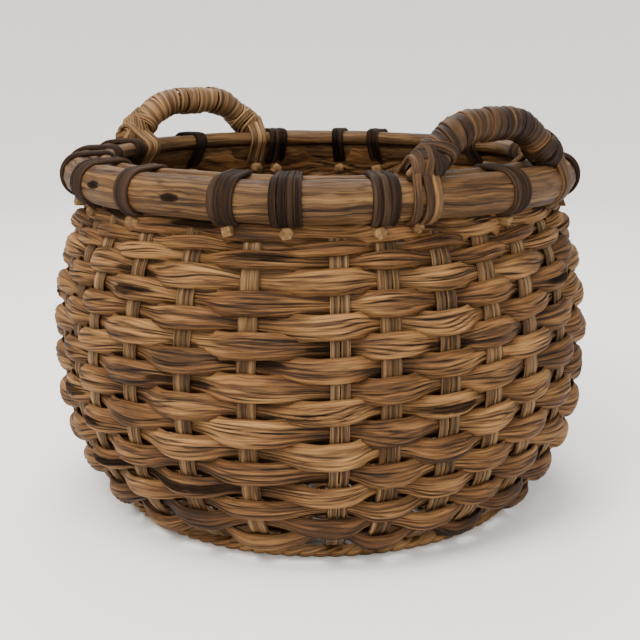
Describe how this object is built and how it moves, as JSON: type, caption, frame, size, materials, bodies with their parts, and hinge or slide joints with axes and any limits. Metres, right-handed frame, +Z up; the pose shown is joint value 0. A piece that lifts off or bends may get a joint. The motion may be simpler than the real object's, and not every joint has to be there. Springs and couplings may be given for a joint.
{
  "type": "woven wicker basket",
  "caption": "Round bellied open basket woven from flat cane over paired stakes, with a thick lashed rim pole and two small wrapped handles.",
  "frame": {"origin": "on the floor, under the middle of the base", "axes": "+Z up, the two handles on +X and -X"},
  "size_m": [0.5281, 0.5301, 0.396],
  "materials": {
    "weft_cane": "matt, grooved water plant and cane bundles",
    "stake_cane": "matt flat cane",
    "rim_pole": "satin peeled pole, cracked along the grain",
    "dark_binding": "satin dark split cane",
    "handle_wrap": "satin split cane",
    "pale_peg": "matt cut cane"
  },
  "bodies": {
    "root": {"weft_row_01": "weft_cane", "weft_row_02": "weft_cane", "weft_row_03": "weft_cane", "weft_row_04": "weft_cane", "weft_row_05": "weft_cane", "weft_row_06": "weft_cane", "weft_row_07": "weft_cane", "weft_row_08": "weft_cane", "weft_row_09": "weft_cane", "weft_row_10": "weft_cane", "weft_row_11": "weft_cane", "weft_row_12": "weft_cane", "weft_row_13": "weft_cane", "weft_row_14": "weft_cane", "weft_row_15": "weft_cane", "weft_row_16": "weft_cane", "weft_row_17": "weft_cane", "wall_stakes_1": "stake_cane", "wall_stakes_2": "stake_cane", "wall_stakes_3": "stake_cane", "base_sticks_lower": "stake_cane", "base_sticks_upper": "stake_cane", "base_weave_even": "weft_cane", "base_weave_odd": "weft_cane", "foot_ring": "weft_cane", "rim_pole": "rim_pole", "inner_hoop": "rim_pole", "rim_binding_01": "dark_binding", "rim_binding_02": "dark_binding", "rim_binding_03": "dark_binding", "rim_binding_04": "dark_binding", "rim_binding_05": "dark_binding", "rim_binding_06": "dark_binding", "rim_binding_07": "dark_binding", "rim_binding_08": "dark_binding", "rim_binding_09": "dark_binding", "rim_binding_10": "dark_binding", "rim_binding_11": "dark_binding", "rim_binding_12": "dark_binding", "rim_binding_13": "dark_binding", "rim_binding_14": "dark_binding", "rim_binding_15": "dark_binding", "rim_binding_16": "dark_binding", "wall_pegs": "pale_peg", "handle_core_1": "rim_pole", "handle_core_2": "rim_pole", "handle_wrap_1": "handle_wrap", "handle_wrap_2": "handle_wrap", "handle_lashing_1": "handle_wrap", "handle_lashing_2": "handle_wrap", "handle_lashing_3": "handle_wrap", "handle_lashing_4": "handle_wrap"}
  },
  "joints": []
}
